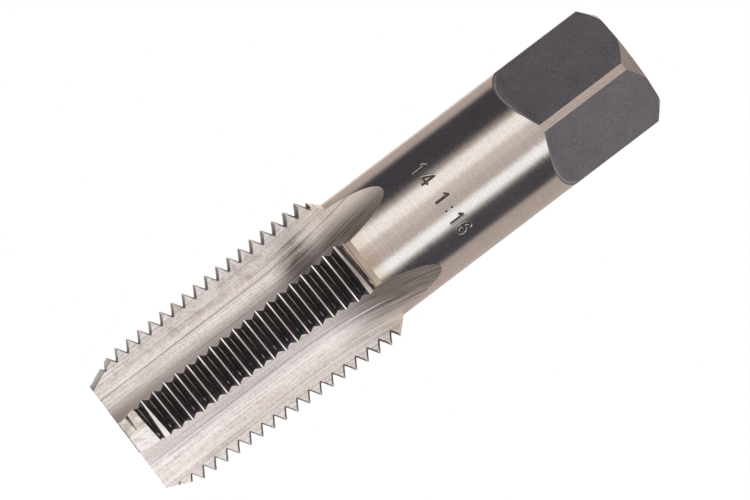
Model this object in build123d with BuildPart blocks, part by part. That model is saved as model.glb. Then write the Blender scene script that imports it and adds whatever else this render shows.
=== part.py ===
"""A 1/2-14 taper pipe tap in millimetres, standing on its flat nose with its axis on Z."""

import os
from math import atan, cos, degrees, floor, radians, sin, tan

from build123d import *

os.makedirs("parts", exist_ok=True)

# Standard sizes
inch = 25.4
overall_length = 3.125 * inch
thread_length = 1.375 * inch
shank_radius = 0.6875 * inch / 2
square_width = 0.515 * inch
pitch = inch / 14
flute_count = 4

# Thread: the radii are those at the nose and grow with the taper
taper = 1 / 32
crest_radius = 9.82
root_radius = 8.383
flank_angle = 30
crest_height = 5.98  # where a crest passes the -Y side
crest_clearance = 0.04  # how far the groove's tool stands past the crests
back_angle = 45
groove_reach = 35  # how far each groove runs to both sides of a land's middle
groove_range = (0.9, 36.3)  # heights of the lowest and highest groove

# Cutting chamfer at the nose: each land's cone is off centre, so it falls away behind the edge
chamfer_radius = 8.00
chamfer_slope = 0.43
chamfer_shift = 1.11
chamfer_reach = 7.0
relief_half = 6.5

# Flute section, with the deepest line on local X and the cutting face towards local +Y
flute_from_land = 41
core_radius = 4.7
face_arc = 3.69
heel_arc = 5.48
rake_point = (9.07, 3.96)
rake_slope = 0.242
heel_point = (8.37, -5.29)
heel_slope = 0.589
flute_mouth = 12.5

# Flute runout, left by the grinding wheel
wheel_radius = 64
runout_start = 22
runout_turn = 27

# Square drive end
square_turn = 47  # the flats stand this far round from the lands
square_start = 64.75
shoulder_break = (0.85, 1.16)  # back along the tap, out from the flat
shoulder_top = (1.85, 2.19)
tail_chamfer_length = 1.675
tail_face_radius = 6.8

# Centre holes in both ends
centre_mouth_radius = 2.2
centre_pilot_radius = 1.0
centre_pilot_depth = 4.0
centre_angle = 30

# Worked out from the dimensions above
back_foot = thread_length + (
    crest_radius + taper * thread_length - shank_radius
) / tan(radians(back_angle))
groove_depth = crest_radius - root_radius + crest_clearance
groove_half = groove_depth * tan(radians(flank_angle))
taper_angle = degrees(atan(taper))
wheel_centre = core_radius + wheel_radius
flat_height = square_width / 2
shoulder_rise = (shoulder_top[0] - shoulder_break[0]) / (
    shoulder_top[1] - shoulder_break[1]
)
centre_mouth_depth = (centre_mouth_radius - centre_pilot_radius) / tan(
    radians(centre_angle)
)


def flute_section():
    """Outline of one flute: cutting face, two arcs that meet on the deepest line, heel face."""
    face_turn = atan(rake_slope)
    heel_turn = atan(heel_slope)
    face_foot = (
        core_radius + face_arc * (1 - sin(face_turn)),
        face_arc * cos(face_turn),
    )
    heel_foot = (
        core_radius + heel_arc * (1 - sin(heel_turn)),
        -heel_arc * cos(heel_turn),
    )
    face_mouth = (
        flute_mouth,
        rake_point[1] + rake_slope * (flute_mouth - rake_point[0]),
    )
    heel_mouth = (
        flute_mouth,
        heel_point[1] - heel_slope * (flute_mouth - heel_point[0]),
    )
    bottom = (core_radius, 0)
    RadiusArc(bottom, face_foot, face_arc)
    Polyline(face_foot, face_mouth, heel_mouth, heel_foot)
    RadiusArc(heel_foot, bottom, heel_arc)


def groove(height):
    """One thread groove over one land, as a tapered helix that starts on +X at this height."""
    foot = root_radius + taper * height
    with BuildPart() as cut:
        with BuildLine() as helix:
            Helix(
                pitch / cos(radians(taper_angle)),
                pitch * groove_reach / 180,
                foot,
                center=(0, 0, height),
                cone_angle=taper_angle,
            )
        with BuildSketch(Plane.XZ):
            with BuildLine():
                Polyline(
                    (foot, height),
                    (foot + groove_depth, height - groove_half),
                    (foot + groove_depth, height + groove_half),
                    close=True,
                )
            make_face()
        sweep(path=helix.line, is_frenet=True)
    return cut.part


def thread_grooves():
    """Every groove of every land, on the one helix that runs round the tap."""
    cuts = []
    for land in range(flute_count):
        height = crest_height + pitch * (0.5 + land / flute_count)
        height -= pitch * floor((height - groove_range[0]) / pitch)
        start_turn = 360 * land / flute_count - 90 - groove_reach
        while height < groove_range[1]:
            cut = groove(height - pitch * groove_reach / 360)
            cuts.append(cut.moved(Location((0, 0, 0), (0, 0, start_turn))))
            height += pitch
    return cuts


with BuildPart() as flute:
    with BuildSketch(Plane.XY.offset(-1)) as run_section:
        with BuildLine():
            flute_section()
        make_face()
    extrude(amount=runout_start + 1)
    with BuildSketch(Plane.XY.offset(runout_start)) as runout_section:
        with BuildLine():
            flute_section()
        make_face()
    revolve(
        axis=Axis((wheel_centre, 0, runout_start), (0, 1, 0)),
        revolution_arc=runout_turn,
    )

with BuildPart() as relief:
    Box(
        2 * flute_mouth,
        2 * relief_half,
        chamfer_reach + 1,
        align=(Align.MIN, Align.CENTER, Align.MIN),
    )
    with Locations((0, -chamfer_shift, 0)):
        Cone(
            chamfer_radius,
            chamfer_radius + chamfer_slope * (chamfer_reach + 1),
            chamfer_reach + 1,
            align=(Align.CENTER, Align.CENTER, Align.MIN),
            mode=Mode.SUBTRACT,
        )

with BuildPart() as flat:
    with BuildSketch(Plane.XZ):
        with BuildLine():
            Polyline(
                (flat_height, square_start),
                (flat_height + shoulder_break[1], square_start - shoulder_break[0]),
                (flat_height + shoulder_top[1], square_start - shoulder_top[0]),
                (
                    2 * flat_height + shoulder_top[1],
                    square_start - shoulder_top[0] - shoulder_rise * flat_height,
                ),
                (2 * flat_height + shoulder_top[1], overall_length + 1),
                (flat_height, overall_length + 1),
                close=True,
            )
        make_face()
    extrude(amount=shank_radius, both=True)

with BuildPart() as centre:
    with BuildSketch(Plane.XZ):
        with BuildLine():
            Polyline(
                (0, 0),
                (centre_mouth_radius, 0),
                (centre_pilot_radius, centre_mouth_depth),
                (centre_pilot_radius, centre_pilot_depth),
                (0, centre_pilot_depth + centre_pilot_radius * tan(radians(31))),
                close=True,
            )
        make_face()
    revolve(axis=Axis.Z)

with BuildPart() as tap:
    with BuildSketch(Plane.XZ):
        with BuildLine():
            Polyline(
                (0, 0),
                (crest_radius, 0),
                (crest_radius + taper * thread_length, thread_length),
                (shank_radius, back_foot),
                (shank_radius, overall_length - tail_chamfer_length),
                (tail_face_radius, overall_length),
                (0, overall_length),
                close=True,
            )
        make_face()
    revolve(axis=Axis.Z)
    with PolarLocations(0, flute_count, start_angle=-flute_from_land):
        add(flute.part, mode=Mode.SUBTRACT)
    with PolarLocations(0, flute_count):
        add(relief.part, mode=Mode.SUBTRACT)
    with PolarLocations(0, flute_count, start_angle=square_turn):
        add(flat.part, mode=Mode.SUBTRACT)
    add(thread_grooves(), mode=Mode.SUBTRACT)
    add(centre.part, mode=Mode.SUBTRACT)
    with Locations(Location((0, 0, overall_length), (180, 0, 0))):
        add(centre.part, mode=Mode.SUBTRACT)

tap.part.label = "tap"
export_step(tap.part, "parts/tap.step")
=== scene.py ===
"""A taper pipe tap, standing on its nose: the fine surface of the tool, its finishes and a plain studio.

Lengths inside the shape classes are millimetres and angles are degrees, and the
mesh is turned into metres when it is made.
"""

from __future__ import annotations

import logging
from dataclasses import dataclass, field
from enum import Enum
from functools import cached_property
from math import cos, radians, sin, sqrt, tan
from typing import Any

import bmesh
import bpy
import numpy as np
from mathutils import Matrix, Vector

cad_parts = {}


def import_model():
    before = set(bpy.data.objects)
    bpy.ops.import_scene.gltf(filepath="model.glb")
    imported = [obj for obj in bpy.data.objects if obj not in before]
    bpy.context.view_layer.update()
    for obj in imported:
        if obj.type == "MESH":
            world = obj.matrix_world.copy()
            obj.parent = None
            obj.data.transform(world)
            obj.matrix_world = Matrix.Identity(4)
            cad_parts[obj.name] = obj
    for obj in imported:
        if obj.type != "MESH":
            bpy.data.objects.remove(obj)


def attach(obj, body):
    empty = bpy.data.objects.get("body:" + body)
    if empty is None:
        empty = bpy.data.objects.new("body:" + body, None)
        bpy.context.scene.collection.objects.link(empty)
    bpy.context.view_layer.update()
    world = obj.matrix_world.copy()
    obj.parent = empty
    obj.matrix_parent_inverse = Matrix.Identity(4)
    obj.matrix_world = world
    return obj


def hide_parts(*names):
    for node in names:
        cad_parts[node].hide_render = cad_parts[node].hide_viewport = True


log = logging.getLogger("tap")
Array = np.ndarray
Colour = tuple[float, float, float]
Coat = tuple[Any, Any]
MM = 0.001

# Bearing of the side that faces the camera, in degrees
FRONT = 268.5


class Finish(Enum):
    """The ground and dark surfaces of the tool, in the order of the mesh's material slots."""

    SHANK = 0
    FLUTE = 1
    LAND = 2
    DRIVE = 3
    END = 4
    MARK = 5


# Pattern coordinates kept at the mesh's points
GRAIN = ("across", "over", "cut", "foot")


# --------------------------------------------------------------------------- mesh


@dataclass
class Shell:
    """Patches of quads that together close into one surface.

    Rows run from the nose up and columns run anticlockwise seen from the tail,
    so every face points outwards.
    """

    points: list[Array] = field(default_factory=list)
    grain: list[Array] = field(default_factory=list)
    faces: list[Array] = field(default_factory=list)
    finish: list[Array] = field(default_factory=list)
    count: int = 0

    def add_points(self, points: Array, grain: Array | None = None) -> Array:
        """Keep points and the pattern coordinates that go with them.

        Args:
            points: positions, of any leading shape, with the last axis x, y, z.
            grain: the pattern coordinates of each point. "across" is the arc
                length across the flute, "over" the share of the way over the
                land, "cut" how far the groove stands above the land's outer
                surfaces, and "foot" how far the groove stands above its root.

        Returns:
            The new index of each point, in the same leading shape.
        """
        flat = points.reshape(-1, 3)
        lead = points.shape[:-1]
        extra = np.zeros((*lead, len(GRAIN))) if grain is None else grain
        self.points.append(flat)
        self.grain.append(extra.reshape(-1, len(GRAIN)))
        index = np.arange(self.count, self.count + len(flat)).reshape(lead)
        self.count += len(flat)
        return index

    def add_grid(self, points: Array, finish: Array | Finish, grain: Array | None = None) -> Array:
        """Join rows of points that each close on themselves, cell by cell.

        Args:
            points: rows by columns by 3.
            finish: one finish, or its number for every cell, as rows less one by columns.
            grain: pattern coordinates of each point.

        Returns:
            The indices of the points.
        """
        index = self.add_points(points, grain)
        right = np.roll(index, -1, axis=1)
        cells = np.stack([index[:-1], right[:-1], right[1:], index[1:]], axis=-1)
        number = finish.value if isinstance(finish, Finish) else finish
        self.faces.append(cells.reshape(-1, 4))
        self.finish.append(np.broadcast_to(number, cells.shape[:2]).reshape(-1))
        return index

    def add_fans(self, coarse: Array, fine: Array, split: Array, up: bool, finish: Finish) -> None:
        """Join a ring to one whose chosen gaps are divided, by triangles.

        Each divided gap is a fan from the coarse gap's left point over the first
        half of its fine steps, one triangle on the coarse gap, and a fan from the
        right point over the rest. A gap that isn't divided is one quad.

        Args:
            coarse: indices of the coarse ring.
            fine: indices of the fine ring.
            split: how many steps the fine ring has in each gap of the coarse one.
            up: whether the fine ring is the upper of the two.
            finish: the finish of these faces.
        """
        start = np.concatenate([[0], np.cumsum(split)])[:-1]
        rows: list[tuple[int, ...]] = []
        for gap, (first, steps) in enumerate(zip(start.tolist(), split.tolist())):
            left, right = int(coarse[gap]), int(coarse[(gap + 1) % len(coarse)])
            ring = [int(fine[(first + k) % len(fine)]) for k in range(steps + 1)]
            if steps == 1:
                rows.append((left, right, ring[1], ring[0]) if up else (ring[0], ring[1], right, left))
                continue
            half = steps // 2
            fan = [(left, ring[k + 1], ring[k]) for k in range(half)]
            fan.append((left, right, ring[half]))
            fan += [(right, ring[k + 1], ring[k]) for k in range(half, steps)]
            rows += fan if up else [tuple(reversed(f)) for f in fan]
        padded = np.array([f if len(f) == 4 else (*f, f[2]) for f in rows])
        self.faces.append(padded)
        self.finish.append(np.full(len(padded), finish.value))

    def make(self, name: str, crease: float) -> bpy.types.Object:
        """Turn the patches into one closed mesh.

        Args:
            name: the object's name.
            crease: the angle in degrees past which an edge is sharp.

        Returns:
            The new object, in metres, at the origin.
        """
        verts = np.concatenate(self.points) * MM
        faces = np.concatenate(self.faces)
        finish = np.concatenate(self.finish)
        same = np.stack([faces[:, i] == faces[:, (i + 1) % 4] for i in range(4)], axis=1)
        keep = same.sum(axis=1) < 2
        faces, finish, same = faces[keep], finish[keep], same[keep]
        pairs = zip(faces.tolist(), same.tolist())
        rows = [[v for v, drop in zip(face, gone) if not drop] for face, gone in pairs]
        mesh = bpy.data.meshes.new(name)
        mesh.from_pydata(verts.tolist(), [], rows)
        mesh.polygons.foreach_set("material_index", finish.astype(np.int32))
        for label, values in zip(GRAIN, np.concatenate(self.grain).T):
            mesh.attributes.new(label, "FLOAT", "POINT").data.foreach_set("value", values.astype(np.float32))
        work = bmesh.new()
        work.from_mesh(mesh)
        bmesh.ops.remove_doubles(work, verts=work.verts, dist=2e-7)
        self._close_nose(work)
        work.to_mesh(mesh)
        work.free()
        mesh.update()
        mesh.polygons.foreach_set("use_smooth", np.ones(len(mesh.polygons), dtype=bool))
        mesh.set_sharp_from_angle(angle=radians(crease))
        piece = bpy.data.objects.new(name, mesh)
        bpy.context.scene.collection.objects.link(piece)
        return piece

    @staticmethod
    def _close_nose(work: bmesh.types.BMesh) -> None:
        """Fill the flat nose between its outline and the mouth of the centre hole."""
        rim = [e for e in work.edges if e.is_boundary]
        if any(v.co.z > 1e-6 for e in rim for v in e.verts):
            raise RuntimeError("the surface is open above the nose")
        made = bmesh.ops.triangle_fill(work, edges=rim, use_beauty=True, normal=(0, 0, -1))
        new = [f for f in made["geom"] if isinstance(f, bmesh.types.BMFace)]
        for face in new:
            face.normal_update()
            if face.normal.z > 0:
                face.normal_flip()
            face.material_index = Finish.END.value


def polar(radius: Array, turn: Array, height: Array) -> Array:
    """Points from radius, turn about the axis in degrees, and height."""
    radius, turn, height = np.broadcast_arrays(radius, np.radians(turn), height)
    return np.stack([radius * np.cos(turn), radius * np.sin(turn), height], axis=-1)


# -------------------------------------------------------------------------- shapes


@dataclass(frozen=True)
class Thread:
    """The 60 degree taper thread, its back cone and the relieved chamfer at the nose."""

    pitch: float = 25.4 / 14
    taper: float = 1 / 32
    crest_radius: float = 9.82
    root_radius: float = 8.383
    root_round: float = 0.085
    crest_height: float = 5.98
    length: float = 34.925
    shank_radius: float = 8.73125
    chamfer_radius: float = 8.00
    chamfer_slope: float = 0.43
    chamfer_shift: float = 1.11

    @property
    def crest_half(self) -> float:
        """Half the width of a crest's flat."""
        depth = self.crest_radius - self.root_radius
        return self.pitch / 2 - depth * tan(radians(30))

    @property
    def back_foot(self) -> float:
        """Height at which the 45 degree back cone meets the shank."""
        return self.length + self.crest_radius + self.taper * self.length - self.shank_radius

    def parts(self, turn: Array, height: Array, phase: Array) -> tuple[Array, Array, Array]:
        """Radii of the three surfaces that bound a land.

        The groove is the sharp root's radius plus a distance over tan 30. The
        distance is the root of two squares added, that of the way along the axis
        to the nearest groove and that of the root's rounding. The envelope is the
        crest's taper, then a 45 degree cone down to the shank. The chamfer is a
        cone whose axis is shifted towards the cutting edge.

        Args:
            turn: degrees from the land's middle.
            height: height above the nose.
            phase: height of a crest over the land's middle.

        Returns:
            Radii of the groove, the envelope and the chamfer.
        """
        along = (height - self.pitch * turn / 360 - phase) / self.pitch
        from_groove = self.pitch * (0.5 - np.abs(along - np.round(along)))
        past = np.hypot(from_groove, self.root_round) / tan(radians(30))
        groove = self.root_radius + self.taper * height + past
        back = self.crest_radius + self.taper * self.length + self.length - height
        envelope = np.where(
            height <= self.length,
            self.crest_radius + self.taper * height,
            np.maximum(back, self.shank_radius),
        )
        cone = self.chamfer_radius + self.chamfer_slope * height
        angle = np.radians(turn)
        shift = self.chamfer_shift
        chamfer = -shift * np.sin(angle) + np.sqrt(cone**2 - (shift * np.cos(angle)) ** 2)
        return groove, envelope, chamfer

    def radius(self, turn: Array, height: Array, phase: Array) -> Array:
        """The land's radius: the least of groove, envelope and chamfer."""
        return np.minimum.reduce(self.parts(turn, height, phase))

    def _one_pitch(self, crest: list[float], flank: Array, foot: Array) -> Array:
        """Heights over one pitch: over the crest, down its flank, round the root and up the next flank."""
        return np.concatenate([crest, flank, foot, self.pitch - np.concatenate([flank[1:], foot])[::-1]])

    def rows(self) -> Array:
        """Heights of the mesh rows over one land, at every corner of the profile.

        Each pitch has rows at both sides of the crest, on the flanks and round the
        root, and more of them near the nose and the back cone.
        """
        half, root, deep = self.crest_half, self.root_round, self.pitch / 2
        flank = np.linspace(half, deep - 1.5 * root, 9)
        fine = self._one_pitch([-half, -half / 3, half / 3], flank, deep - root * np.array([0.75, 0.25]))
        flank = np.array([half, (half + deep - root) / 2, deep - 1.3 * root])
        plain = self._one_pitch([-half], flank, np.array([deep - 0.4 * root]))
        heights: list[Array] = []
        for turn in range(-5, 20):
            base = self.crest_height + turn * self.pitch
            near = base < self.crest_height - 0.1 or base > self.length - 1.5 * self.pitch
            heights.append(base + (fine if near else plain))
        return np.concatenate(heights)


@dataclass(frozen=True)
class Flute:
    """One ground flute: cutting face, two arcs that meet at the deepest line, heel face.

    Its section is a curve u over v, with u away from the axis along the deepest
    line and v towards the cutting face. The mouth is the span of v that it covers.
    """

    turn: float = -41
    core: float = 4.7
    face_arc: float = 3.69
    heel_arc: float = 5.48
    rake_point: tuple[float, float] = (9.07, 3.96)
    rake_slope: float = 0.242
    heel_point: tuple[float, float] = (8.37, -5.29)
    heel_slope: float = 0.589
    wheel_radius: float = 64
    runout_start: float = 22
    mouth: tuple[float, float] = (-8.5, 6.0)

    def section(self, v: Array) -> Array:
        """Depth line u over v: straight face, two arcs and straight heel."""
        face_foot = self.face_arc / sqrt(1 + self.rake_slope**2)
        heel_foot = -self.heel_arc / sqrt(1 + self.heel_slope**2)
        inner = np.clip(v, heel_foot, face_foot)
        arc = np.where(inner >= 0, self.face_arc, self.heel_arc)
        u = self.core + arc - np.sqrt(arc**2 - inner**2)
        u = np.where(v > face_foot, self.rake_point[0] + (v - self.rake_point[1]) / self.rake_slope, u)
        return np.where(v < heel_foot, self.heel_point[0] - (v - self.heel_point[1]) / self.heel_slope, u)

    def lifted(self, u: Array, height: Array) -> Array:
        """The section's depth at a height, where past the runout's start the wheel's circle lifts it."""
        centre = self.core + self.wheel_radius
        past = np.maximum(height - self.runout_start, 0)
        return centre - np.sqrt((centre - u) ** 2 - past**2)

    def tip(self, radius: float) -> float:
        """Height at which the deepest line reaches this radius."""
        centre = self.core + self.wheel_radius
        return self.runout_start + sqrt(self.wheel_radius**2 - (centre - radius) ** 2)

    def reach(self, radius: Array, height: Array, side: int) -> Array:
        """The v at which the flute meets a radius, by halving: side 1 is the face, -1 the heel."""
        low = np.zeros(np.broadcast(radius, height).shape)
        high = low + (self.mouth[1] if side > 0 else -self.mouth[0])
        for _ in range(46):
            mid = (low + high) / 2
            u = self.lifted(self.section(side * mid), height)
            inside = u**2 + mid**2 < radius**2
            low, high = np.where(inside, mid, low), np.where(inside, high, mid)
        return side * low

    def lengths(self) -> tuple[Array, Array]:
        """A table of v and the arc length across the section there, from the deepest line."""
        spans = (self.mouth[0], -5, 500), (-5, 5, 4000), (5, self.mouth[1], 300)
        v = np.unique(np.concatenate([[0.0], *(np.linspace(*span) for span in spans)]))
        u = self.section(v)
        run = np.concatenate([[0], np.cumsum(np.hypot(np.diff(u), np.diff(v)))])
        return v, run - np.interp(0.0, v, run)


@dataclass(frozen=True)
class FlutedEnd:
    """The threaded and fluted end, from the nose to the tips of the flutes' runouts."""

    thread: Thread
    flute: Flute
    land_columns: int = 28
    flute_columns: int = 26
    top: float = 37.6
    runout_rows: int = 40
    first_turns: tuple[float, float] = (-17.5, 18.5)

    def build(self, shell: Shell) -> Array:
        """Add the lands and flutes, row by row.

        A row follows the helix over each land, so crests and roots lie on rows,
        and passes straight across each flute to the next land's row. Rows that
        would leave the thread are held at its ends and fall together there.

        Args:
            shell: the surface to add to.

        Returns:
            The indices of the ring at the flutes' tips.
        """
        thread = self.thread
        base = thread.rows()
        shift = np.array([0, 1, 2, -1]) * thread.pitch / 4
        phase = thread.crest_height + shift
        centre = base[None, :] + shift[:, None]
        slope, last = thread.pitch / 360, self.flute.tip(thread.shank_radius)
        points, grain, kind = self._rows(centre, phase[:, None], slope, 0.0, self.top)
        shell.add_grid(points, kind, grain)
        heights = last - (last - self.top) * np.linspace(1, 0, self.runout_rows) ** 2
        flat = np.broadcast_to(heights[None, :], (4, len(heights)))
        points, grain, kind = self._rows(flat, phase[:, None], 0.0, self.top, last)
        return shell.add_grid(points, kind, grain)[-1]

    def _rows(
        self, centre: Array, phase: Array, slope: float, low: float, high: float
    ) -> tuple[Array, Array, Array]:
        """Points, pattern coordinates and finishes of a stack of rows.

        Args:
            centre: height of each row over each land's middle, as lands by rows.
            phase: height of a crest over each land's middle.
            slope: rise of a row for each degree round a land.
            low: lowest height of the stack.
            high: highest height of the stack.

        Returns:
            Points and pattern coordinates, each as rows by columns, and the cells' finish numbers.
        """
        edge_turn, edge_v, edge_z = self._corner(centre, phase, slope, low, high, 1)
        heel_turn, heel_v, heel_z = self._corner(centre, phase, slope, low, high, -1)
        share = np.linspace(0, 1, self.land_columns + 1)
        turn = edge_turn[..., None] + (heel_turn - edge_turn)[..., None] * share
        height = np.clip(centre[..., None] + slope * turn, low, high)
        height[..., 0], height[..., -1] = edge_z, heel_z
        groove, envelope, chamfer = self.thread.parts(turn, height, phase[..., None])
        radius = np.minimum.reduce([groove, envelope, chamfer])
        land_turns = np.array([270, 0, 90, 180])[:, None, None]
        land = polar(radius, turn + land_turns, height)

        v_table, s_table = self.flute.lengths()
        next_v, next_z = np.roll(edge_v, -1, axis=0), np.roll(edge_z, -1, axis=0)
        s_heel = np.interp(heel_v, v_table, s_table)
        s_edge = np.interp(next_v, v_table, s_table)
        share = np.linspace(0, 1, self.flute_columns + 1)[1:-1]
        s = s_heel[..., None] + (s_edge - s_heel)[..., None] * share
        v = np.interp(s, s_table, v_table)
        z = heel_z[..., None] + (next_z - heel_z)[..., None] * share
        u = self.flute.lifted(self.flute.section(v), z)
        flute_turns = land_turns + 90 + self.flute.turn
        flute = polar(np.hypot(u, v), flute_turns + np.degrees(np.arctan2(v, u)), z)

        across = np.concatenate([0 * turn, s], axis=2)
        across[..., 0] = np.interp(edge_v, v_table, s_table)
        across[..., self.land_columns] = s_heel
        over = 0 * turn + np.linspace(0, 1, self.land_columns + 1)
        cut = groove - np.minimum(envelope, chamfer)
        foot = groove - self.thread.root_radius - self.thread.taper * height
        grain = [across, *(np.concatenate([values, 0 * s], axis=2) for values in (over, cut, foot))]
        grain = np.stack(grain, axis=-1).transpose(1, 0, 2, 3)
        points = np.concatenate([land, flute], axis=2).transpose(1, 0, 2, 3)
        rows = len(points)
        return points.reshape(rows, -1, 3), grain.reshape(rows, -1, len(GRAIN)), self._finishes(height)

    def _corner(
        self, centre: Array, phase: Array, slope: float, low: float, high: float, side: int
    ) -> tuple[Array, Array, Array]:
        """Where each row leaves its land, found by going round turn, height, radius a few times.

        Returns:
            The turn from the land's middle, the flute's v there, and the height.
        """
        flute_turn = self.flute.turn if side > 0 else 90 + self.flute.turn
        turn = np.full(centre.shape, self.first_turns[0 if side > 0 else 1])
        for _ in range(12):
            z = np.clip(centre + slope * turn, low, high)
            radius = self.thread.radius(turn, z, phase)
            v = self.flute.reach(radius, z, side)
            u = self.flute.lifted(self.flute.section(v), z)
            turn = flute_turn + np.degrees(np.arctan2(v, u))
        return turn, v, z

    def _finishes(self, height: Array) -> Array:
        """Finish number of every cell: land up to the back cone's foot, shank above it, and flute between."""
        z = (height[:, :-1, :-1] + height[:, 1:, :-1] + height[:, :-1, 1:] + height[:, 1:, 1:]) / 4
        kind = np.where(z > self.thread.back_foot, Finish.SHANK.value, Finish.LAND.value)
        lands, rows, _ = kind.shape
        flute = np.full((lands, rows, self.flute_columns), Finish.FLUTE.value)
        return np.concatenate([kind, flute], axis=2).transpose(1, 0, 2).reshape(rows, -1)


@dataclass(frozen=True)
class Marking:
    """Plain size figures stamped round the shank: threads an inch, and the taper."""

    text: str = "14 1:16"
    height: float = 1.9
    advance: float = 1.62
    stroke: float = 0.27
    depth: float = 0.10
    slope: float = 0.09
    lip_away: float = 0.08
    lip_width: float = 0.06
    lip_rise: float = 0.008
    base: float = 48.55

    @staticmethod
    def strokes(sign: str) -> list[tuple[float, float, float, float]]:
        """Straight strokes of a sign in a box one high and 0.62 wide."""
        signs = {
            "1": [(0.31, 0.0, 0.31, 1.0), (0.31, 1.0, 0.12, 0.80)],
            "4": [(0.46, 0.0, 0.46, 1.0), (0.46, 1.0, 0.04, 0.30), (0.04, 0.30, 0.62, 0.30)],
            " ": [],
            ":": [(0.31, 0.20, 0.31, 0.22), (0.31, 0.66, 0.31, 0.68)],
        }
        if sign != "6":
            return signs[sign]
        turn = np.linspace(0, 2 * np.pi, 13)
        x, y = 0.31 + 0.25 * np.cos(turn), 0.29 + 0.27 * np.sin(turn)
        loop = list(zip(x[:-1], y[:-1], x[1:], y[1:]))
        turn = np.linspace(np.pi, 0.36 * np.pi, 6)
        x, y = 0.36 + 0.30 * np.cos(turn), 0.34 + 0.66 * np.sin(turn)
        return loop + list(zip(x[:-1], y[:-1], x[1:], y[1:]))

    def cut(self, along: Array, height: Array) -> Array:
        """Depth pressed into the shank: full within a stroke, a slope at its edge, a faint lip outside.

        Args:
            along: distance round the shank from the middle of the row of figures.
            height: height above the nose.

        Returns:
            Depth below the shank's surface, negative on the lip.
        """
        start = -self.advance * (len(self.text) - 0.2) / 2
        nearest = np.full(np.broadcast(along, height).shape, np.inf)
        for place, sign in enumerate(self.text):
            left = start + place * self.advance
            for x0, y0, x1, y1 in self.strokes(sign):
                ax, ay = left + x0 * self.height, self.base + y0 * self.height
                bx, by = left + x1 * self.height, self.base + y1 * self.height
                run = (bx - ax) ** 2 + (by - ay) ** 2
                t = np.clip(((along - ax) * (bx - ax) + (height - ay) * (by - ay)) / run, 0, 1)
                away = np.hypot(along - ax - t * (bx - ax), height - ay - t * (by - ay))
                nearest = np.minimum(nearest, away)
        outside = nearest - self.stroke / 2
        edge = np.clip((self.slope / 3 - outside) / self.slope, 0, 1)
        lip = self.lip_rise * np.exp(-(((outside - self.lip_away) / self.lip_width) ** 2))
        return self.depth * edge * edge * (3 - 2 * edge) - lip * (outside > 0)


@dataclass(frozen=True)
class Shank:
    """The ground round shank between the flutes' tips and the square, with its stamped figures."""

    radius: float
    bottom: float
    top: float
    marking: Marking
    gaps: int = 112
    first_turn: float = 229
    last_turn: float = 227
    band: tuple[float, float] = (48.2, 50.8)
    band_rows: int = 48
    band_gap: float = 0.35
    rings_below: int = 5
    rings_above: int = 8
    floor_share: float = 0.45
    divide: int = 7
    marked: tuple[float, float] = (218, 319)

    def ring(self, height: float, turn: float) -> Array:
        """One ring of even columns."""
        return polar(np.array(self.radius), turn + np.arange(self.gaps) * 360 / self.gaps, np.array(height))

    def build(self, shell: Shell) -> None:
        """Add plain rings, the finely divided band of the figures, and rings that turn to suit the square."""
        low, high = self.band
        heights = np.linspace(self.bottom, low - self.band_gap, self.rings_below)
        rings = np.stack([self.ring(z, self.first_turn) for z in heights])
        below = shell.add_grid(rings, Finish.SHANK)[-1]

        turns = self.first_turn + np.arange(self.gaps + 1) * 360 / self.gaps
        split = np.where((turns[:-1] > self.marked[0]) & (turns[1:] < self.marked[1]), self.divide, 1)
        start = np.concatenate([[0], np.cumsum(split)])
        fine_turn = np.interp(np.arange(start[-1]), start, turns)
        z = np.linspace(low, high, self.band_rows)
        around = (fine_turn + 180 - FRONT) % 360 - 180
        along = self.radius * np.radians(around)
        depth = self.marking.cut(along[None, :], z[:, None])
        points = polar(self.radius - depth, fine_turn[None, :], z[:, None])
        middle = (depth[:-1] + depth[1:]) / 2
        middle = (middle + np.roll(middle, -1, axis=1)) / 2
        floor = middle > self.floor_share * self.marking.depth
        kind = np.where(floor, Finish.MARK.value, Finish.SHANK.value)
        band = shell.add_grid(points, kind)
        shell.add_fans(below, band[0], split, True, Finish.SHANK)

        heights = np.linspace(high + self.band_gap, self.top, self.rings_above)
        share = (heights - heights[0]) / (heights[-1] - heights[0])
        turns_up = self.first_turn + share * (self.last_turn - self.first_turn)
        rings = np.stack([self.ring(z, t) for z, t in zip(heights, turns_up)])
        above = shell.add_grid(rings, Finish.SHANK)[0]
        shell.add_fans(above, band[-1], split, False, Finish.SHANK)


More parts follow.
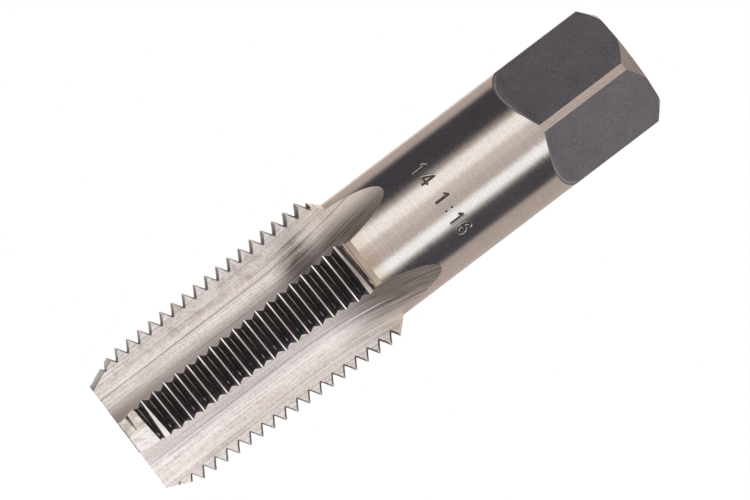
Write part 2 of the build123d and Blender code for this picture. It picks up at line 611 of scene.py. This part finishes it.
@dataclass(frozen=True)
class DriveEnd:
    """The square for the wrench, with its sloped shoulders, tail chamfer and centre hole."""

    radius: float
    length: float = 79.375
    across: float = 13.081
    turn: float = 47
    start: float = 64.75
    shoulder: tuple[tuple[float, float], ...] = ((1.85, 2.19), (0.85, 1.16), (0.0, 0.0))
    chamfer_length: float = 1.675
    face_radius: float = 6.8
    flat_columns: int = 8
    round_columns: int = 14
    hole: tuple[float, float, float] = (2.2, 1.0, 4.0)
    hole_angle: float = 30
    pilot_row: float = 3.0
    drill_point: float = 31

    @property
    def bottom(self) -> float:
        """Height of the shoulders' tops."""
        return self.start - self.shoulder[0][0]

    def rows(self) -> Array:
        """Heights of the rows, close together where the flats' outline turns fast."""
        kink = self.start - self.shoulder[1][0]
        lead = self.bottom + (kink - self.bottom) * np.linspace(0, 1, 15) ** 2
        cone = self.length - self.chamfer_length
        spans = (kink, self.start, 9), (self.start, cone, 8), (cone, self.length, 16)
        return np.concatenate([lead, *(np.linspace(*span)[1:] for span in spans)])

    def build(self, shell: Shell) -> None:
        """Add the square and the end face.

        At each height the ring is the lesser of a circle and four straight
        flats. The columns follow the corner between them, which stands at
        arccos of the flat's distance over the circle's radius.
        """
        z = self.rows()
        knots = [self.start - s[0] for s in self.shoulder]
        flat = self.across / 2 + np.interp(z, knots, [s[1] for s in self.shoulder])
        cone = self.radius - (self.radius - self.face_radius) * np.maximum(
            (z - self.length + self.chamfer_length) / self.chamfer_length, 0
        )
        flat = np.minimum(flat, cone)
        flat[0] = self.radius
        meet = np.degrees(np.arccos(np.clip(flat / cone, -1, 1)))[:, None]
        inner = np.linspace(0, 1, self.flat_columns + 1)[None, :-1] * meet
        outer = meet + (45 - meet) * np.linspace(0, 1, self.round_columns + 1)[None, :-1]
        half = np.concatenate([inner, outer], axis=1)
        side = np.concatenate([half, 45 + 0 * meet, 90 - half[:, :0:-1]], axis=1)
        near = np.minimum(side, 90 - side)
        radius = np.minimum(flat[:, None] / np.cos(np.radians(near)), cone[:, None])
        turns = self.turn + np.array([180, 270, 0, 90])[None, :, None] + side[:, None, :]
        points = polar(radius[:, None, :], turns, z[:, None, None])
        points = points.reshape(len(z), -1, 3)
        columns = side.shape[1]
        kind = np.full(columns, Finish.SHANK.value)
        kind[: self.flat_columns] = Finish.DRIVE.value
        kind[columns - self.flat_columns :] = Finish.DRIVE.value
        kinds = np.broadcast_to(np.tile(kind, 4), (len(z) - 1, 4 * columns)).copy()
        turned = z[:-1] >= self.start - 1e-9
        kinds[turned] = np.where(kinds[turned] == Finish.SHANK.value, Finish.END.value, kinds[turned])
        shell.add_grid(points, kinds)
        rim = points[-1]
        bearing = np.degrees(np.arctan2(rim[:, 1], rim[:, 0]))
        out = np.hypot(rim[:, 0], rim[:, 1])
        share = np.linspace(0, 1, 4)[:, None]
        face = polar(out * (1 - share) + self.hole[0] * share, bearing[None, :], np.array(self.length))
        face[0] = rim
        shell.add_grid(face, Finish.END)
        self.centre_hole(shell, bearing, self.length, -1)

    def centre_hole(self, shell: Shell, bearing: Array, face: float, way: int) -> None:
        """Add a 60 degree centre hole: cone, pilot and drill point, closed at the axis.

        Args:
            shell: the surface to add to.
            bearing: the columns' turns, in degrees.
            face: height of the end face.
            way: 1 where the hole runs up from the nose, -1 where it runs down from the tail.
        """
        mouth, pilot, depth = self.hole
        radius = np.array([mouth, pilot, pilot, pilot, 0.0])
        cone = (mouth - pilot) / tan(radians(self.hole_angle))
        point = depth + pilot * tan(radians(self.drill_point))
        deep = np.array([0, cone, self.pilot_row, depth, point])
        points = polar(radius[:, None], bearing[None, :], face + way * deep[:, None])
        shell.add_grid(points[::-1] if way > 0 else points, Finish.END)


@dataclass(frozen=True)
class Tap:
    """The whole tool as one closed surface."""

    thread: Thread = Thread()
    flute: Flute = Flute()
    marking: Marking = Marking()
    nose_columns: int = 72

    def build(self) -> bpy.types.Object:
        """Build the surface from the nose up and make it a mesh."""
        shell = Shell()
        drive = DriveEnd(self.thread.shank_radius)
        bearing = np.arange(self.nose_columns) * 360 / self.nose_columns
        drive.centre_hole(shell, bearing, 0.0, 1)
        FlutedEnd(self.thread, self.flute).build(shell)
        tip = self.flute.tip(self.thread.shank_radius)
        Shank(self.thread.shank_radius, tip, drive.bottom, self.marking).build(shell)
        drive.build(shell)
        return shell.make("pipe_tap", crease=16)


# ------------------------------------------------------------------------ finishes


class Socket:
    """A value inside a node tree; sums and products of values add Math nodes."""

    def __init__(self, tree: Tree, link: bpy.types.NodeSocket) -> None:
        """Keep the tree it belongs to and the socket itself."""
        self.tree = tree
        self.link = link

    def _math(self, operation: str, *values: Any) -> Socket:
        """One Math node."""
        return self.tree.node("ShaderNodeMath", {"operation": operation}, *values)

    def __add__(self, other: Any) -> Socket:
        """Sum."""
        return self._math("ADD", self, other)

    __radd__ = __add__

    def __sub__(self, other: Any) -> Socket:
        """Difference."""
        return self._math("SUBTRACT", self, other)

    def __rsub__(self, other: Any) -> Socket:
        """Difference from a number."""
        return self._math("SUBTRACT", other, self)

    def __mul__(self, other: Any) -> Socket:
        """Product."""
        return self._math("MULTIPLY", self, other)

    __rmul__ = __mul__

    def __abs__(self) -> Socket:
        """The value without its sign."""
        return self._math("ABSOLUTE", self)

    def clamp(self, low: float, high: float) -> Socket:
        """Spread the span from low to high over 0 to 1, smoothly, and hold it there."""
        if low > high:
            return 1 - self.clamp(high, low)
        settings = {"interpolation_type": "SMOOTHSTEP"}
        return self.tree.node("ShaderNodeMapRange", settings, self, low, high, 0.0, 1.0)

    def near(self, centre: float, width: float) -> Socket:
        """One where the value is at the centre, falling smoothly to 0 a width away."""
        return abs(self - centre).clamp(width, 0.0)


@dataclass
class Tree:
    """A node tree, to which one method adds any node."""

    graph: bpy.types.NodeTree

    def node(self, kind: str, settings: dict[str, Any] | None = None, *values: Any, out: Any = 0) -> Socket:
        """Add a node.

        Args:
            kind: the node's type name.
            settings: attributes set before its sockets are filled.
            values: numbers, tuples or sockets for its inputs in order; None leaves one alone.
            out: the output to hand back, by number or name.

        Returns:
            The output socket.
        """
        made = self.graph.nodes.new(kind)
        for key, value in (settings or {}).items():
            setattr(made, key, value)
        for socket, value in zip([s for s in made.inputs if s.enabled], values):
            self.fill(socket, value)
        outputs = [s for s in made.outputs if s.enabled]
        return Socket(self, outputs[out] if isinstance(out, int) else made.outputs[out])

    def fill(self, socket: bpy.types.NodeSocket, value: Any) -> None:
        """Link or set one input; a colour is given its alpha of one."""
        if isinstance(value, Socket):
            self.graph.links.new(value.link, socket)
        elif value is not None:
            socket.default_value = (*value, 1.0) if socket.type == "RGBA" else value

    def background_rays(self) -> Socket:
        """One for the rays that see the white background, and zero for those that light things."""
        kinds = ("Camera", "Glossy", "Transmission")
        seen, *others = (self.node("ShaderNodeLightPath", out=f"Is {kind} Ray") for kind in kinds)
        for ray in others:
            seen = self.node("ShaderNodeMath", {"operation": "MAXIMUM"}, seen, ray)
        return seen


class Shader(Tree):
    """A material with one Principled shader, and the patterns that finishes are made of."""

    def __init__(self, name: str) -> None:
        """Make the material and find its shader."""
        self.material = bpy.data.materials.new(name)
        self.material.use_nodes = True
        super().__init__(self.material.node_tree)
        self.surface = self.graph.nodes["Principled BSDF"]
        self.place = self.node("ShaderNodeTexCoord", out="Object")

    def set(self, **values: Any) -> None:
        """Fill inputs of the Principled shader, with _ for a space in their names."""
        for key, value in values.items():
            self.fill(self.surface.inputs[key.replace("_", " ")], value)

    def position(self, scale: tuple[float, float, float]) -> Socket:
        """The object's own coordinates, stretched."""
        return self.node("ShaderNodeVectorMath", {"operation": "MULTIPLY"}, self.place, scale)

    @cached_property
    def x(self) -> Socket:
        """Place to the right of the axis, in metres."""
        return self.node("ShaderNodeSeparateXYZ", {}, self.place, out="X")

    @cached_property
    def z(self) -> Socket:
        """Height above the nose, in metres."""
        return self.node("ShaderNodeSeparateXYZ", {}, self.place, out="Z")

    def attribute(self, name: str) -> Socket:
        """A pattern coordinate kept in the mesh."""
        return self.node("ShaderNodeAttribute", {"attribute_name": name}, out="Fac")

    def noise(self, vector: Socket, detail: float = 3, rough: float = 0.6) -> Socket:
        """Cloud noise from 0 to 1, with one cell to a unit of the vector."""
        return self.node("ShaderNodeTexNoise", {}, vector, 1.0, detail, rough)

    def cloud(self, around: float, along: float, detail: float = 3, rough: float = 0.6) -> Socket:
        """Cloud noise with this many cells a metre in plan and along the tap."""
        return self.noise(self.position((around, around, along)), detail, rough)

    def drawn(self, x: Socket, y: Socket, seed: float, detail: float = 3, rough: float = 0.6) -> Socket:
        """Cloud noise over two pattern coordinates, on a sheet of its own for each seed."""
        return self.noise(self.node("ShaderNodeCombineXYZ", {}, x, y, seed), detail, rough)

    def blend(self, amount: Any, low: Any, high: Any) -> Socket:
        """Mix of two colours."""
        settings = {"data_type": "RGBA", "clamp_factor": True}
        return self.node("ShaderNodeMix", settings, amount, low, high)

    def layers(self, base: Any, *coats: Coat) -> Any:
        """Lay coats over a base colour in turn, each an amount and a colour."""
        for amount, colour in coats:
            base = self.blend(amount, base, colour)
        return base

    def bump(self, height: Socket, strength: float, distance: float) -> None:
        """Feed a height to the shader's normal."""
        bump = self.node("ShaderNodeBump", {}, strength, distance, None, height)
        self.fill(self.surface.inputs["Normal"], bump)


@dataclass(frozen=True)
class GroundRound:
    """Steel ground in the round: fine rings about the axis over a soft sheen, tinted at the neck."""

    name: str = "ground_round_steel"
    light: Colour = (0.66, 0.645, 0.63)
    dull: float = 0.84
    roughness: float = 0.11
    rings: float = 0.22
    neck_tint: Colour = (0.54, 0.48, 0.38)
    neck_tint_fade: tuple[float, float] = (0.0394, 0.0374)

    def build(self) -> bpy.types.Material:
        """Rings are noise drawn out round the axis, and a fine speckle breaks them up."""
        s = Shader(self.name)
        rings, speck, cloud = s.cloud(60, 5200, 4, 0.7), s.cloud(3800, 3800, 2), s.cloud(210, 210)
        tone = (rings * 0.35 + speck * 0.50 + cloud * 0.15).clamp(0.36, 0.62)
        low = tuple(v * self.dull for v in self.light)
        neck = s.z.clamp(*self.neck_tint_fade) * (0.25 + 0.75 * cloud)
        s.set(
            Base_Color=s.layers(low, (tone, self.light), (neck, self.neck_tint)),
            Metallic=1.0,
            Roughness=self.roughness + 0.07 * speck + 0.05 * cloud,
        )
        s.bump(rings * 0.7 + speck * 0.3, self.rings, 2e-6)
        return s.material


@dataclass(frozen=True)
class GroundFlute:
    """Flute steel: satin with marks of the wheel along the flute, a painted shade lip, a painted highlight
    line, and runouts darkened by a painted dark reflection.

    Places across the section are arc lengths in millimetres from the deepest
    line, positive towards the cutting face. Heights and other places are metres.
    """

    name: str = "ground_flute_steel"
    pale: Colour = (1.0, 0.96, 0.945)
    mid: Colour = (0.60, 0.54, 0.525)
    shade: Colour = (0.42, 0.345, 0.30)
    dark: Colour = (0.120, 0.100, 0.090)
    warm: tuple[Colour, Colour] = ((0.50, 0.425, 0.36), (0.80, 0.715, 0.63))
    glint: Colour = (1.0, 0.98, 0.96)
    highlight_tone: Colour = (1.0, 0.99, 0.97)
    # painted shade: the deepest line of the flute, and the -x side where the lip towards the cutting face is
    # darkened
    shaded_hollow: tuple[float, float] = (-0.4, 1.5)
    shaded_lip_side: tuple[float, float] = (0.0, -0.0025)
    patch_side: tuple[float, float] = (-0.0060, -0.0074)
    # where the runouts carry a painted dark reflection, and the place of one painted dark reflection spot
    runout: tuple[float, float] = (0.0270, 0.0365)
    runout_middle: float = 0.0009
    runout_edge: tuple[float, float] = (0.0051, 0.0083)
    reflection_spot_place: tuple[float, float] = (-0.0051, 0.0284)
    # painted highlight line on the flutes: its place across the section and the heights over which it fades
    highlight_across: float = 1.35
    highlight_fade: tuple[float, float] = (0.0385, 0.0330)
    dark_line: float = -3.10

    def build(self) -> bpy.types.Material:
        """Marks follow the section's arc length, kept in the mesh, and change slowly along the tap."""
        s = Shader(self.name)
        across = s.attribute("across")
        marks = s.drawn(across * 4.2, s.z * 45.0, 0.0, 5, 0.8)
        speck = s.cloud(3000, 3000, 2)
        colour = s.layers(
            self.mid,
            *self._wheel(s, across, marks, speck),
            *self._edges(s, across, marks, speck),
            *self._runout(s, across),
            *self._lines(s, across, marks),
        )
        s.set(Base_Color=colour, Metallic=0.55, Roughness=0.40 + 0.14 * marks)
        s.bump(marks * 0.7 + speck * 0.3, 0.5, 6e-6)
        return s.material

    def _wheel(self, s: Shader, across: Socket, marks: Socket, speck: Socket) -> list[Coat]:
        """The wheel's marks, and coarser scores darker and brighter than they are."""
        broad = s.drawn(across * 1.1, s.z * 90.0, 3.0)
        scores = s.drawn(across * 3.4, s.z * 14.0, 11.0, 2)
        tone = marks * 0.56 + broad * 0.16 + s.cloud(560, 380, 3, 0.55) * 0.06 + speck * 0.22
        return [
            (tone.clamp(0.39, 0.575), self.pale),
            (scores.clamp(0.40, 0.31) * 0.55, self.shade),
            (scores.clamp(0.59, 0.68) * 0.8, self.glint),
        ]

    def _edges(self, s: Shader, across: Socket, marks: Socket, speck: Socket) -> list[Coat]:
        """Painted shade: a darker lip towards the cutting face on the -x side and a darker deepest line; and
        cloudy darker patches towards -x.
        """
        # painted shade: the lip towards the cutting face, only on the -x side, stronger near the nose
        lip = across.clamp(-2.3, 0.9) * s.x.clamp(*self.shaded_lip_side) * (0.22 + 0.32 * speck + 0.32 * marks)
        lip = lip * (1 + 0.75 * s.z.clamp(0.014, 0.0))
        # cloudy darker patches on the -x side of the flutes
        cloudy_patches = s.cloud(430, 520).clamp(0.47, 0.68)
        return [
            (lip + across.near(*self.shaded_hollow) * 0.16, self.shade),
            (cloudy_patches * s.x.clamp(*self.patch_side) * 0.5, self.shade),
        ]

    def _runout(self, s: Shader, across: Socket) -> list[Coat]:
        """Warm streaks high up, and a painted dark reflection with streaks, at one spot and where the runout
        climbs by the middle.
        """
        smear = s.drawn(across * 3.2, s.z * 70.0, 7.0, 5, 0.75)
        streak = smear.clamp(0.32, 0.68)
        reach = s.z.clamp(0.0362, 0.0415) * s.x.clamp(-0.003, 0.003) * 0.0012
        aside = (abs(s.x - self.runout_middle) - reach).clamp(*self.runout_edge)
        # painted dark reflection: darkens the runout by the middle and one spot on the -x side, where a dark
        # flag would reflect
        runout_reflection = s.z.clamp(*self.runout) * (1 - aside)
        reflection_spot = s.x.near(self.reflection_spot_place[0], 0.0054) * (s.z + s.x * 0.35).near(self.reflection_spot_place[1], 0.0040)
        dark = runout_reflection * (0.42 + 0.72 * streak) + reflection_spot * (0.2 + 1.1 * streak)
        warm = s.blend(smear.clamp(0.3, 0.7), *self.warm)
        return [(s.z.clamp(0.0315, 0.0380) * 0.75, warm), (dark, self.dark)]

    def _lines(self, s: Shader, across: Socket, marks: Socket) -> list[Coat]:
        """A dark score, and a painted highlight line with a painted shadow beside it, each at one place
        across the section.
        """
        score = across.near(self.dark_line, 0.15) * marks.clamp(0.30, 0.55)
        shadow = across.near(self.highlight_across - 0.30, 0.28) * marks.clamp(0.30, 0.60)
        # painted highlight: a bright reflection line at one place across the flute
        highlight_line = across.near(self.highlight_across, 0.14) * s.z.clamp(*self.highlight_fade)
        return [(score * 0.75, self.dark), (shadow * 0.5, self.shade), (highlight_line, self.highlight_tone)]


@dataclass(frozen=True)
class ThreadedLand:
    """Land of the thread: near black flanks, partly dark oxide and partly painted shade, painted highlights
    in the roots, and bright crests, chamfer and back cone.

    Heights and places are metres, and pairs of them are where a tone starts and is full.
    """

    name: str = "threaded_land_steel"
    # flank tones: partly dark oxide, partly painted shade in the grooves
    flank: tuple[Colour, Colour] = ((0.026, 0.030, 0.028), (0.052, 0.040, 0.050))
    fleck: Colour = (0.24, 0.21, 0.21)
    # painted highlights in the root: a dim reddish line and a paler patch near the heel
    root: Colour = (0.46, 0.33, 0.28)
    heel_root_highlight: Colour = (0.75, 0.73, 0.76)
    # painted sheen: flanks near the heel on the -x side made brownish, as seen at a grazing angle
    grazing_sheen: Colour = (0.44, 0.36, 0.30)
    grazing_sheen_side: tuple[float, float] = (-0.0050, -0.0062)
    crest: tuple[Colour, Colour] = ((1.0, 0.96, 0.88), (0.54, 0.455, 0.43))
    pit: Colour = (0.40, 0.36, 0.34)
    worn: Colour = (0.64, 0.60, 0.57)
    worn_below: tuple[float, float] = (0.0074, 0.0066)
    facet: tuple[Colour, Colour] = ((0.42, 0.37, 0.32), (0.68, 0.625, 0.57))
    # painted reflection: the facets turn whiter past their middle
    facet_heel_reflection: Colour = (0.82, 0.78, 0.79)
    facet_below: tuple[float, float] = (0.0034, 0.0029)
    # painted shade: a dark line where the facets turn to the nose face
    rim: Colour = (0.10, 0.09, 0.08)
    shaded_rim_below: tuple[float, float] = (0.00020, 0.00006)
    neck: Colour = (0.86, 0.76, 0.64)
    neck_above: tuple[float, float] = (0.0351, 0.0356)
    # painted shade: crests and facets near the nose darkened on the -x side
    corner: Colour = (0.15, 0.12, 0.095)
    shaded_corner_side: tuple[float, float] = (-0.0036, -0.0050)
    shaded_corner_below: tuple[float, float] = (0.0051, 0.0045)
    ring: Colour = (0.10, 0.085, 0.07)
    ring_height: float = 0.03626

    def build(self) -> bpy.types.Material:
        """The mesh's own coordinates tell crest from flank and flank from root, and the way over the land."""
        s = Shader(self.name)
        over = s.attribute("over")
        speck, cloud = s.cloud(2800, 2800, 2), s.cloud(800, 800)
        ground = s.attribute("cut").clamp(-0.012, 0.012)
        flank, crest = self._flank(s, over, speck, cloud), self._crest(s, over, speck, cloud)
        s.set(
            Base_Color=s.blend(ground, flank, crest),
            Metallic=0.4 + 0.5 * ground,
            Roughness=0.36 - 0.12 * ground + 0.1 * cloud,
        )
        s.bump(speck, 0.3, 6e-6)
        return s.material

    def _flank(self, s: Shader, over: Socket, speck: Socket, cloud: Socket) -> Socket:
        """Dark flanks with flecks, partly painted shade; a painted highlight line in the root, a paler
        painted highlight near the heel, and a painted sheen at the heel on the -x side.
        """
        root = 1 - s.attribute("foot").clamp(0.155, 0.24)
        highlight_line = over.clamp(0.0, 0.08) * (1 - over.clamp(0.08, 0.75)) * (0.5 + speck)
        heel_root_highlight = over.near(0.86, 0.085) * cloud.clamp(0.36, 0.60)
        # painted sheen at the heel on the -x side
        grazing_sheen = over.clamp(0.80, 0.95) * s.x.clamp(*self.grazing_sheen_side)
        return s.layers(
            s.blend(cloud.clamp(0.35, 0.65), *self.flank),
            (speck.clamp(0.56, 0.76) * 0.6, self.fleck),
            # painted highlights in the root
            (root * highlight_line, self.root),
            (root * heel_root_highlight * 0.8, self.heel_root_highlight),
            (grazing_sheen * 0.8, self.grazing_sheen),
        )

    def _crest(self, s: Shader, over: Socket, speck: Socket, cloud: Socket) -> Socket:
        """Crests bright at both edges and duller between, the nose's facets, the back cone's tones, and
        painted shade on the -x side near the nose.
        """
        middle = over.clamp(0.05, 0.35) * (1 - over.clamp(0.72, 0.95)) * (0.45 + 0.6 * cloud)
        # painted shade on the -x side near the nose
        corner = s.x.clamp(*self.shaded_corner_side) * s.z.clamp(*self.shaded_corner_below)
        return s.layers(
            s.blend(middle, *self.crest),
            (speck.clamp(0.55, 0.80) * 0.3, self.pit),
            (s.z.clamp(*self.worn_below) * 0.75, self.worn),
            (s.z.clamp(*self.facet_below), self._facets(s, over)),
            (s.z.clamp(*self.neck_above) * 0.8, self.neck),
            (corner * 0.85, self.corner),
            (s.z.near(self.ring_height, 0.00012) * 0.7, self.ring),
        )

    def _facets(self, s: Shader, over: Socket) -> Socket:
        """The nose's facets: grained, with a painted reflection that whitens them past their middle, and a
        painted shade line at the very nose.
        """
        grain = s.cloud(2400, 500, 3, 0.7).clamp(0.35, 0.65)
        return s.layers(
            s.blend(grain, *self.facet),
            # painted reflection past the facets' middle, then the painted shade line at the nose
            (over.clamp(0.42, 0.56) * (0.45 + 0.4 * grain), self.facet_heel_reflection),
            (s.z.clamp(*self.shaded_rim_below) * 0.8, self.rim),
        )


@dataclass(frozen=True)
class DriveFlat:
    """Flats and their shoulders: matte dark grey with a cool, slightly purple cast, with painted light making
    one side lighter.
    """

    name: str = "matte_drive_steel"
    dark: tuple[Colour, Colour] = ((0.070, 0.062, 0.069), (0.122, 0.111, 0.121))
    # painted light: the +x side of the flats gets these lighter tones, as if lit
    light: tuple[Colour, Colour] = ((0.118, 0.108, 0.113), (0.19, 0.175, 0.182))
    lit_side: tuple[float, float] = (-0.0010, 0.0016)
    worn: Colour = (0.30, 0.27, 0.26)
    worn_radius: float = 0.00845
    worn_below: tuple[float, float] = (0.0645, 0.0652)

    def build(self) -> bpy.types.Material:
        """Fine even grain, and a worn paler line where the shoulder breaks to its steeper part."""
        s = Shader(self.name)
        speck, cloud = s.cloud(3600, 3600, 2, 0.7), s.cloud(330, 330)
        tone = (speck * 0.75 + cloud * 0.25).clamp(0.25, 0.75)
        # painted light on the +x side
        lit = s.x.clamp(*self.lit_side) * 0.32
        out = s.node("ShaderNodeVectorMath", {"operation": "LENGTH"}, s.position((1, 1, 0)), out="Value")
        below = 1 - s.z.clamp(*self.worn_below)
        worn = out.near(self.worn_radius, 0.00013) * below * (0.3 + 0.7 * cloud)
        plain = s.blend(tone, *self.dark)
        colour = s.layers(plain, (lit, s.blend(tone, *self.light)), (worn, self.worn))
        s.set(Base_Color=colour, Roughness=0.55 + 0.1 * speck, Specular_IOR_Level=0.25)
        s.bump(speck, 0.25, 8e-6)
        return s.material


@dataclass(frozen=True)
class StampedFigure:
    """The floor of the stamped figures, dark in its grooves."""

    name: str = "stamped_figure_steel"
    tones: tuple[Colour, Colour] = ((0.055, 0.05, 0.05), (0.13, 0.115, 0.105))

    def build(self) -> bpy.types.Material:
        """Dark steel with a fine grain."""
        s = Shader(self.name)
        speck = s.cloud(2600, 2600, 2)
        colour = s.blend(speck.clamp(0.3, 0.7), *self.tones)
        s.set(Base_Color=colour, Metallic=0.6, Roughness=0.4 + 0.1 * speck)
        s.bump(speck, 0.3, 6e-6)
        return s.material


def finishes() -> list[bpy.types.Material]:
    """Every finish in the order of the mesh's slots."""
    made = {
        Finish.SHANK: GroundRound(),
        Finish.FLUTE: GroundFlute(),
        Finish.LAND: ThreadedLand(),
        Finish.DRIVE: DriveFlat(),
        Finish.END: GroundRound("turned_end_steel", (0.57, 0.52, 0.495), 0.80, 0.30, 0.4),
        Finish.MARK: StampedFigure(),
    }
    return [made[kind].build() for kind in Finish]


# -------------------------------------------------------------------------- studio


@dataclass(frozen=True)
class Card:
    """One card or flag in the bowl: its middle, half width and soft edge as turns, and its light."""

    turn: float
    half: float
    edge: float
    light: Colour

    def over(self, turn: Array, light: Array) -> Array:
        """Lay the card over what stands behind it, fading across its edge."""
        away = np.abs((turn - self.turn + 180) % 360 - 180)
        amount = np.clip((self.half + self.edge / 2 - away) / self.edge, 0, 1)
        amount = (amount * amount * (3 - 2 * amount))[:, None]
        return light * (1 - amount) + np.array(self.light) * amount


@dataclass(frozen=True)
class Studio:
    """A pale floor, a white surround, one soft lamp, and a bowl of cards that only reflections see.

    Each entry of the bowl is a ring's radius, its height, and how far its
    light has faded from the cards' to the floor's or the roof's.
    """

    floor_size: float = 1.6
    floor_colour: Colour = (0.80, 0.80, 0.80)
    floor_glow: float = 0.5
    ambient: float = 0.9
    wall: Colour = (0.63, 0.52, 0.465)
    roof: Colour = (0.46, 0.39, 0.36)
    ground: Colour = (0.80, 0.78, 0.77)
    bowl: tuple[tuple[float, float, float], ...] = (
        (0.035, 0.0005, 0.7),
        (0.12, 0.0005, 0.0),
        (0.55, 0.0005, 0.0),
        (0.55, 1.1, 0.5),
        (0.0, 1.1, 1.0),
    )
    cards: tuple[Card, ...] = (
        Card(-6, 14, 12, (0.72, 0.615, 0.56)),
        Card(5, 9, 10, (0.90, 0.775, 0.715)),
        Card(27, 13, 10, (1.40, 1.31, 1.24)),
        Card(-35, 10, 10, (1.46, 1.45, 1.45)),
        Card(83, 34, 18, (0.060, 0.056, 0.070)),
        Card(-72, 22, 13, (0.075, 0.070, 0.086)),
        Card(170, 14, 16, (1.10, 1.00, 0.95)),
    )
    lamp_size: float = 0.9
    lamp_power: float = 5.0
    lamp_place: tuple[float, float, float] = (0.75, -0.55, 0.9)

    def build(self) -> None:
        """Make the surround, floor, cards and lamp."""
        self._world()
        self._floor()
        self._cards()
        self._lamp()

    def _world(self) -> None:
        """White to the camera and to steel, and a plain level for everything else."""
        world = bpy.data.worlds.new("surround")
        bpy.context.scene.world = world
        world.use_nodes = True
        tree = Tree(world.node_tree)
        back = world.node_tree.nodes["Background"]
        level = tree.node("ShaderNodeMapRange", {}, tree.background_rays(), 0.0, 1.0, self.ambient, 1.0)
        tree.fill(back.inputs["Strength"], level)
        tree.fill(back.inputs["Color"], (1, 1, 1))

    @staticmethod
    def _stage(name: str, points: Array, faces: Array, material: bpy.types.Material) -> bpy.types.Object:
        """A stage piece from its points, faces and material."""
        mesh = bpy.data.meshes.new(name)
        mesh.from_pydata(points.tolist(), [], faces.tolist())
        mesh.materials.append(material)
        made = bpy.data.objects.new(name, mesh)
        bpy.context.scene.collection.objects.link(made)
        return made

    def _floor(self) -> None:
        """A pale floor that the camera sees as white, less the tap's shadow."""
        s = Shader("pale_floor")
        s.set(Base_Color=self.floor_colour, Roughness=0.9, Specular_IOR_Level=0.0)
        s.set(Emission_Color=(1, 1, 1), Emission_Strength=s.background_rays() * self.floor_glow)
        corners = self.floor_size * np.array([(-1, -1, 0), (1, -1, 0), (1, 1, 0), (-1, 1, 0)])
        self._stage("floor", corners, np.arange(4)[None], s.material)

    def _cards(self) -> None:
        """The bowl with its roof, whose light changes with the turn about the tap, for reflections alone."""
        turns = np.radians(np.linspace(-180, 180, 361) + FRONT)
        radius, height, fade = (np.array(v)[:, None] for v in zip(*self.bowl))
        rings = np.stack([radius * np.cos(turns), radius * np.sin(turns), height + 0 * turns], axis=-1)
        n, rows = len(turns), len(self.bowl)
        corner = (np.arange(rows - 1)[:, None] * n + np.arange(n - 1)).reshape(-1, 1)
        faces = corner + np.array([0, n, n + 1, 1])
        bowl = self._stage("card_ring", rings.reshape(-1, 3), faces, self._card_light())
        turn = np.linspace(180, -180, n)
        rgb = np.tile(np.array(self.wall), (n, 1))
        for card in self.cards:
            rgb = card.over(turn, rgb)
        plain = np.array([self.ground if h < 0.001 else self.roof for _, h, _ in self.bowl])
        rgb = rgb * (1 - fade[:, :, None]) + plain[:, None, :] * fade[:, :, None]
        rgba = np.concatenate([rgb, np.ones((rows, n, 1))], axis=2)
        shade = bowl.data.attributes.new("light", "FLOAT_COLOR", "POINT")
        shade.data.foreach_set("color", rgba.astype(np.float32).reshape(-1))
        bowl.visible_camera = bowl.visible_diffuse = False
        bowl.visible_shadow = bowl.visible_transmission = False

    @staticmethod
    def _card_light() -> bpy.types.Material:
        """A material that glows with the light kept at the bowl's points."""
        material = bpy.data.materials.new("card_light")
        material.use_nodes = True
        tree = Tree(material.node_tree)
        tree.graph.nodes.clear()
        colour = tree.node("ShaderNodeAttribute", {"attribute_name": "light"}, out="Color")
        out = tree.graph.nodes.new("ShaderNodeOutputMaterial")
        tree.fill(out.inputs["Surface"], tree.node("ShaderNodeEmission", {}, colour))
        return material

    def _lamp(self) -> None:
        """One broad soft lamp overhead, turned to the foot of the tap."""
        data = bpy.data.lights.new("overhead", "AREA")
        data.shape = "DISK"
        data.size = self.lamp_size
        data.energy = self.lamp_power
        lamp = bpy.data.objects.new("overhead", data)
        lamp.location = self.lamp_place
        lamp.rotation_euler = Vector(self.lamp_place).to_track_quat("Z", "Y").to_euler()
        lamp.visible_glossy = False
        bpy.context.scene.collection.objects.link(lamp)


@dataclass(frozen=True)
class Camera:
    """A long lens at nose height, rolled so that the tap leans across the image."""

    distance: float = 0.98
    azimuth: float = FRONT - 270
    elevation: float = -2.2
    aim: tuple[float, float, float] = (0.0, 0.0, 0.0392)
    lens: float = 372.0
    lean: float = 37.2

    def build(self) -> None:
        """Place the camera on its bearing, aim it, and roll it about its own view line.

        The tap's axis then stands lean degrees above the image's horizontal, pointing right.
        """
        a, e = radians(self.azimuth), radians(self.elevation)
        back = Vector((sin(a) * cos(e), -cos(a) * cos(e), sin(e)))
        where = Vector(self.aim) + self.distance * back
        right = Vector((0, 0, 1)).cross(back).normalized()
        up = back.cross(right)
        roll = radians(90 - self.lean)
        side = right * cos(roll) + up * sin(roll)
        top = up * cos(roll) - right * sin(roll)
        turn = Matrix((side, top, back)).transposed()
        data = bpy.data.cameras.new("camera")
        data.lens = self.lens
        data.sensor_width = 36
        data.clip_start, data.clip_end = 0.01, 50
        camera = bpy.data.objects.new("camera", data)
        camera.matrix_world = Matrix.Translation(where) @ turn.to_4x4()
        bpy.context.scene.collection.objects.link(camera)
        bpy.context.scene.camera = camera


def main() -> None:
    """Build the tap, dress it, hide the CAD part, and set up the studio and camera."""
    logging.basicConfig(level=logging.INFO, format="%(name)s: %(message)s")
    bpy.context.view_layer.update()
    tap = Tap().build()
    for material in finishes():
        tap.data.materials.append(material)
    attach(tap, "root")
    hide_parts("tap")
    log.info("%s: %d faces", tap.name, len(tap.data.polygons))
    Studio().build()
    Camera().build()
    bpy.context.scene.view_settings.view_transform = "Standard"


if __name__ == "__main__":
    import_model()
    main()
